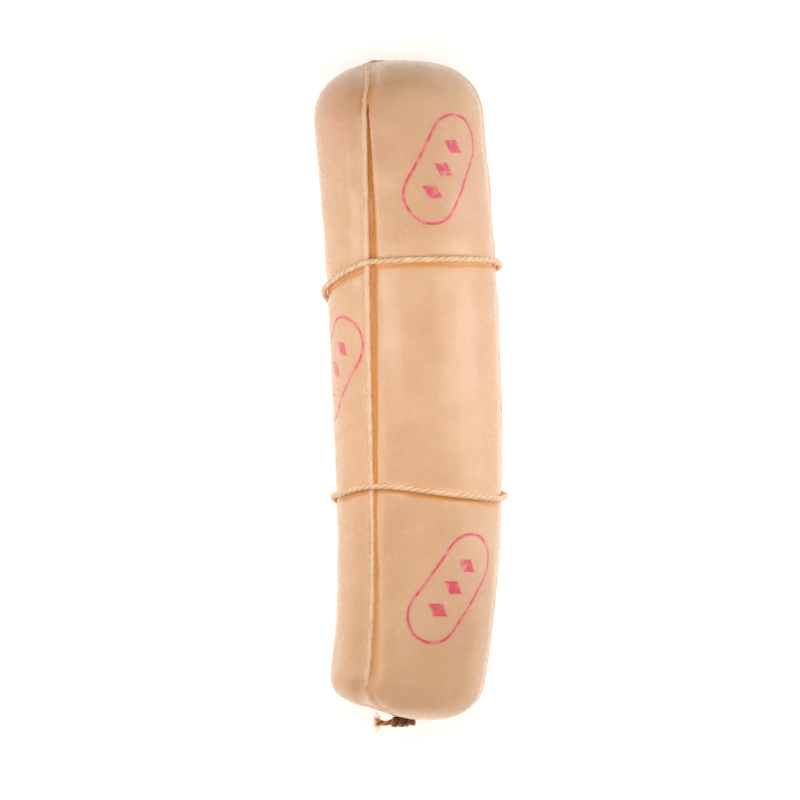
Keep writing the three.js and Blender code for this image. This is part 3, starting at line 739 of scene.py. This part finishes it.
def stampInk(tree):
    # How much of the stamps' solid ink and of its faint spread lies on each point. The "stamp" attribute is a
    # point's place along and across its stamp in mm. Ink lies within half a stroke of a capsule, which is all
    # that is halfWidth away from a middle line, and in a diamond, where |along| / a + |across| / b from its
    # middle is under 1.
    place = addNode(tree, "ShaderNodeAttribute", attribute_name="stamp").outputs["Vector"]
    near = addNode(tree, "ShaderNodeSeparateXYZ", {0: place}).outputs["Z"]
    coordinates = addNode(tree, "ShaderNodeTexCoord").outputs["Object"]
    sway = addNode(tree, "ShaderNodeTexNoise", {"Vector": coordinates, "Scale": 60.0, "Detail": 1.0})
    swayed = addNode(tree, "ShaderNodeVectorMath", {0: sway.outputs["Color"], 1: (1.8, 1.8, 0), 2: place},
                     operation="MULTIPLY_ADD")
    mirrored = addNode(tree, "ShaderNodeVectorMath", {0: swayed.outputs[0]}, operation="ABSOLUTE").outputs[0]
    straight = stamps["halfLength"] - stamps["halfWidth"]
    past = addNode(tree, "ShaderNodeVectorMath", {0: mirrored, 1: (straight, 0, 2)}, operation="SUBTRACT")
    past = addNode(tree, "ShaderNodeVectorMath", {0: past.outputs[0], 1: (0, 0, 0)}, operation="MAXIMUM")
    away = addNode(tree, "ShaderNodeVectorMath", {0: past.outputs[0]}, operation="LENGTH").outputs["Value"]
    away = addNode(tree, "ShaderNodeMath", {0: away, 1: stamps["halfWidth"]}, operation="SUBTRACT").outputs[0]
    away = addNode(tree, "ShaderNodeMath", {0: away}, operation="ABSOLUTE").outputs[0]
    outline = addNode(tree, "ShaderNodeMath", {0: away, 1: stamps["stroke"] / 2},
                      operation="SUBTRACT").outputs[0]

    # along the row, each point's distance from the middle of the nearest of three diamonds
    along, across, _ = addNode(tree, "ShaderNodeSeparateXYZ", {0: mirrored}).outputs
    every, (a, b) = stamps["diamondEvery"], stamps["diamond"]
    beyond = addNode(tree, "ShaderNodeMath", {0: along, 1: every}, operation="SUBTRACT").outputs[0]
    nearest = addNode(tree, "ShaderNodeMath", {0: along, 1: every / 2}, operation="PINGPONG").outputs[0]
    nearest = addNode(tree, "ShaderNodeMath", {0: nearest, 1: beyond}, operation="MAXIMUM").outputs[0]
    across = addNode(tree, "ShaderNodeMath", {0: across, 1: a / b, 2: -a}, operation="MULTIPLY_ADD")
    diamond = addNode(tree, "ShaderNodeMath", {0: nearest, 1: across.outputs[0]}, operation="ADD").outputs[0]
    edge = addNode(tree, "ShaderNodeMath", {0: outline, 1: diamond}, operation="MINIMUM").outputs[0]

    inked = addNode(tree, "ShaderNodeMapRange", {"Value": edge, "From Min": 0.45, "From Max": -0.25},
                    interpolation_type="SMOOTHSTEP").outputs[0]
    spread = addNode(tree, "ShaderNodeMapRange", {"Value": edge, "From Min": 2.2, "From Max": -0.3,
                                                  "To Max": 0.4}, interpolation_type="SMOOTHSTEP").outputs[0]
    # ink takes unevenly on wax: patches of a few mm are thin
    patches = addNode(tree, "ShaderNodeTexNoise", {"Vector": coordinates, "Scale": 150.0, "Detail": 3.0,
                                                   "Roughness": 0.6})
    taken = addNode(tree, "ShaderNodeMapRange", {
        "Value": patches.outputs["Fac"], "From Min": 0.36, "From Max": 0.56, "To Min": 0.3, "To Max": 0.92},
        interpolation_type="SMOOTHSTEP")
    inked = addNode(tree, "ShaderNodeMath", {0: inked, 1: near}, operation="MULTIPLY").outputs[0]
    solid = addNode(tree, "ShaderNodeMath", {0: inked, 1: taken.outputs[0]}, operation="MULTIPLY").outputs[0]
    halo = addNode(tree, "ShaderNodeMath", {0: spread, 1: near}, operation="MULTIPLY").outputs[0]
    return solid, halo


def waxedRind():
    # Dairy wax over provolone curd, dipped hot: a satin, slightly translucent skin, cloudy where it is thick,
    # with painted shade, golden to dark orange, in the grooves and creases. Each colour is laid over those
    # before it, by its share. The clouds are about 45 mm wide.
    material, tree = newMaterial("waxed_rind_dipped")
    coordinates = addNode(tree, "ShaderNodeTexCoord").outputs["Object"]
    cloudy = addNode(tree, "ShaderNodeTexNoise", {"Vector": coordinates, "Scale": 22.0, "Detail": 3.0,
                                                  "Roughness": 0.55}).outputs["Fac"]
    pinkish = addNode(tree, "ShaderNodeTexNoise", {"Vector": coordinates, "Scale": 9.0,
                                                   "Detail": 1.5}).outputs["Fac"]
    paler = addNode(tree, "ShaderNodeMapRange", {"Value": cloudy, "From Min": 0.35,
                                                 "From Max": 0.68}).outputs[0]
    pinker = addNode(tree, "ShaderNodeMapRange", {"Value": pinkish, "From Min": 0.48, "From Max": 0.7,
                                                  "To Max": 0.6}).outputs[0]
    # painted shade: golden where the "crevice" attribute reaches a half, and from there on darker
    crevice = addNode(tree, "ShaderNodeAttribute", attribute_name="crevice").outputs["Fac"]
    grooveShade = addNode(tree, "ShaderNodeMapRange", {"Value": crevice, "From Max": 0.5}).outputs[0]
    deep = addNode(tree, "ShaderNodeMapRange", {"Value": crevice, "From Min": 0.5}).outputs[0]
    solid, halo = stampInk(tree)
    colour = linear(waxLook["body"])
    for share, over in ((paler, "paler"), (pinker, "pinker"), (grooveShade, "grooveShade"), (deep, "crevice"),
                        (halo, "inkHalo"), (solid, "ink")):
        colour = addNode(tree, "ShaderNodeMix", {"Factor": share, "A": colour, "B": linear(waxLook[over])},
                         data_type="RGBA").outputs["Result"]
    # orange-peel of cooled wax, about 4 mm
    peel = addNode(tree, "ShaderNodeTexNoise", {"Vector": coordinates, "Scale": 240.0, "Detail": 2.0,
                                                "Roughness": 0.5}).outputs["Fac"]
    bump = addNode(tree, "ShaderNodeBump", {"Height": peel, "Strength": 0.07, "Distance": 0.0006})
    gloss = addNode(tree, "ShaderNodeMapRange", {"Value": peel, "From Min": 0.3, "From Max": 0.7,
                                                 "To Min": waxLook["roughness"] - 0.02,
                                                 "To Max": waxLook["roughness"] + 0.04})
    shader = addNode(tree, "ShaderNodeBsdfPrincipled", {
        "Base Color": colour, "Roughness": gloss.outputs[0], "IOR": waxLook["ior"], "Subsurface Weight": 0.35,
        "Subsurface Radius": (1.0, 0.55, 0.3), "Subsurface Scale": waxLook["depth"],
        "Normal": bump.outputs["Normal"]})
    addNode(tree, "ShaderNodeOutputMaterial", {"Surface": shader.outputs[0]})
    return material


def waxedString(name, look):
    # Laid hemp twine that went through the hot wax with the cheese: fibres show on the ridges of its three
    # strands, and wax has filled the crevices between them.
    material, tree = newMaterial(name)
    unrolled = addNode(tree, "ShaderNodeUVMap", uv_map="unrolled").outputs[0]
    # fibres about 0.25 mm wide and 4 mm long; the UV map is in mm
    stretched = addNode(tree, "ShaderNodeMapping", {"Vector": unrolled, "Scale": (3.2, 0.22, 1.0)})
    fibres = addNode(tree, "ShaderNodeTexNoise", {"Vector": stretched.outputs[0], "Scale": 1.0, "Detail": 3.0,
                                                  "Roughness": 0.6}).outputs["Fac"]
    crevice = addNode(tree, "ShaderNodeAttribute", attribute_name="crevice").outputs["Fac"]
    # painted shade: darker in the twist's crevices, and lighter on the beads as a painted highlight
    creviceShade = addNode(tree, "ShaderNodeMapRange", {"Value": crevice, "From Min": 0.15, "From Max": 0.95})
    uneven = addNode(tree, "ShaderNodeMath", {0: fibres, 1: 0.55, 2: -0.27}, operation="MULTIPLY_ADD")
    share = addNode(tree, "ShaderNodeMath", {0: creviceShade.outputs[0], 1: uneven.outputs[0]}, operation="ADD",
                    use_clamp=True)
    colour = addNode(tree, "ShaderNodeMix", {"Factor": share.outputs[0], "A": linear(look["ridge"]),
                                             "B": linear(look["crevice"])}, data_type="RGBA")
    # painted shade on the end knot, deepening towards +X
    if "knotShade" in look:
        coordinates = addNode(tree, "ShaderNodeTexCoord").outputs["Object"]
        along = addNode(tree, "ShaderNodeSeparateXYZ", {0: coordinates}).outputs["X"]
        knotShade = addNode(tree, "ShaderNodeMapRange", {"Value": along, "From Min": look["knotShadeFrom"][0],
                                                     "From Max": look["knotShadeFrom"][1], "To Max": 0.8})
        colour = addNode(tree, "ShaderNodeMix", {"Factor": knotShade.outputs[0], "A": colour.outputs["Result"],
                                                 "B": linear(look["knotShade"])}, data_type="RGBA")
    bump = addNode(tree, "ShaderNodeBump", {"Height": fibres, "Strength": 0.4, "Distance": 0.0003})
    shader = addNode(tree, "ShaderNodeBsdfPrincipled", {
        "Base Color": colour.outputs["Result"], "Roughness": look["roughness"], "IOR": look["ior"],
        "Subsurface Weight": 0.2, "Subsurface Radius": (1.0, 0.55, 0.3), "Subsurface Scale": 0.0012,
        "Normal": bump.outputs["Normal"]})
    addNode(tree, "ShaderNodeOutputMaterial", {"Surface": shader.outputs[0]})
    return material


rind = waxedRind()
twine = waxedString("waxed_string_laid", stringLook)
hoopTwine = waxedString("waxed_string_hoop", hoopLook)
knotTwine = waxedString("waxed_string_knotted", knotLook)

finishPiece(buildCheese(), rind, "waxed_rind", "cheese")
finishPiece(buildLengthwise("string_lengthwise_inner", runs[0], runs[2], cord["innerLift"], 21), twine,
            "waxed_string", "cord_lengthwise_inner")
finishPiece(buildLengthwise("string_lengthwise_outer", runs[1], runs[3], cord["outerLift"], 22), twine,
            "waxed_string", "cord_lengthwise_outer")
for number, (node, points) in enumerate(hoops.items()):
    finishPiece(buildHoop("string_" + node, points, 31 + number), hoopTwine, "waxed_string", node)
    # the hoop's knot sits on it, its first direction along the hoop
    turn = knots["hoopAngle"] + np.array([0.0, 2.0])
    y = hoopY(points, turn)
    pair = placed(turn, barrelRows(y), barrelRadius(y) - hoopRadius(turn, y))
    outward = np.array([math.sin(np.radians(turn)[0]), 0, math.cos(np.radians(turn)[0])])
    along = unit(pair[1] - pair[0])
    finishPiece(buildKnot("string_" + node + "_knot", pair[0] + outward * knots["hoopSeat"],
                          [along, unit(np.cross(outward, along)), outward], knots["hoopTails"], 41 + number),
                hoopTwine, "waxed_string", node + "_knot")
lowerPole = placed(np.zeros(1), poleRows[0], np.zeros(1))[0]
endKnotAt = np.array([lowerPole[0], knots["endY"], lowerPole[2]])
finishPiece(buildKnot("string_end_knot", endKnotAt, knots["endWays"], knots["endTails"], 51), knotTwine,
            "waxed_string", "knot")
tailEnd = endKnotAt + np.array(knots["endTails"][1][-1]) @ np.array(knots["endWays"])
finishPiece(buildFray("string_end_fray", tailEnd, (-1.0, 0.0, 0.0), (0.0, 0.0, 1.0), 61), knotTwine,
            "waxed_string", "knot")


stageLook = {
    "floor": "#FAFAF8", "floorSize": 20.0, "floorGlow": 0.5, "sky": 0.12,
    "cameraHeight": 10.058, "lens": 643.8, "aim": (-0.00786, -0.00439),
    "lit": (0.0, 0.0, 0.06),  # the point that the softboxes face
    # each softbox: place, size, watts, colour, and if it shows in the wax or only lights it
    "softboxes": {
        "right": ((0.50, 0.03, 0.20), (0.40, 0.35), 0.7, "#FFFFFF", True),
        "right_sheen": ((0.44, 0.06, 0.34), (0.14, 0.50), 0.6, "#FFFFFF", True),
        "left": ((-0.50, -0.02, 0.20), (0.40, 0.35), 0.66, "#FFF0E2", True),
        "left_sheen": ((-0.36, 0.05, 0.48), (0.07, 0.45), 0.6, "#FFFFFF", True),
        "above": ((0.0, 0.0, 0.60), (0.35, 0.40), 1.65, "#FFFFFF", False),
        "head": ((0.0, 0.80, 0.25), (0.5, 0.3), 0.8, "#FFFFFF", False),
        "foot": ((0.0, -0.50, 0.12), (0.4, 0.15), 0.44, "#FFF6EC", False),
    },
}


def buildFloor():
    mesh = bpy.data.meshes.new("floor")
    size = stageLook["floorSize"]
    mesh.from_pydata([(-size, -size, 0), (size, -size, 0), (size, size, 0), (-size, size, 0)], [],
                     [(0, 1, 2, 3)])
    floor = bpy.data.objects.new("floor", mesh)
    bpy.context.scene.collection.objects.link(floor)
    material, tree = newMaterial("floor_matt_white")
    shader = addNode(tree, "ShaderNodeBsdfPrincipled", {
        "Base Color": linear(stageLook["floor"]), "Roughness": 0.9, "Specular IOR Level": 0.1,
        "Emission Color": (1, 1, 1, 1), "Emission Strength": stageLook["floorGlow"]})
    addNode(tree, "ShaderNodeOutputMaterial", {"Surface": shader.outputs[0]})
    mesh.materials.append(material)


def facing(place, target):
    return (Vector(target) - Vector(place)).to_track_quat("-Z", "Y").to_euler()


def buildLights():
    world = bpy.data.worlds.new("studio")
    world.use_nodes = True
    world.node_tree.nodes["Background"].inputs["Color"].default_value = (1, 1, 1, 1)
    world.node_tree.nodes["Background"].inputs["Strength"].default_value = stageLook["sky"]
    bpy.context.scene.world = world
    for name, (place, size, watts, colour, shows) in stageLook["softboxes"].items():
        light = bpy.data.lights.new("softbox_" + name, "AREA")
        light.shape, light.size, light.size_y = "RECTANGLE", size[0], size[1]
        light.energy, light.color = watts, linear(colour)[:3]
        lamp = bpy.data.objects.new("softbox_" + name, light)
        lamp.location, lamp.rotation_euler = place, facing(place, stageLook["lit"])
        lamp.visible_camera, lamp.visible_glossy = False, shows
        bpy.context.scene.collection.objects.link(lamp)


def buildCamera():
    camera = bpy.data.cameras.new("camera")
    camera.lens, camera.sensor_width = stageLook["lens"], 36
    camera.clip_start, camera.clip_end = 0.05, 50
    eye = bpy.data.objects.new("camera", camera)
    eye.location = (*stageLook["aim"], stageLook["cameraHeight"])
    bpy.context.scene.collection.objects.link(eye)
    bpy.context.scene.camera = eye


buildFloor()
buildLights()
buildCamera()
bpy.context.scene.view_settings.view_transform = "Standard"
print("stage, lights and camera set")
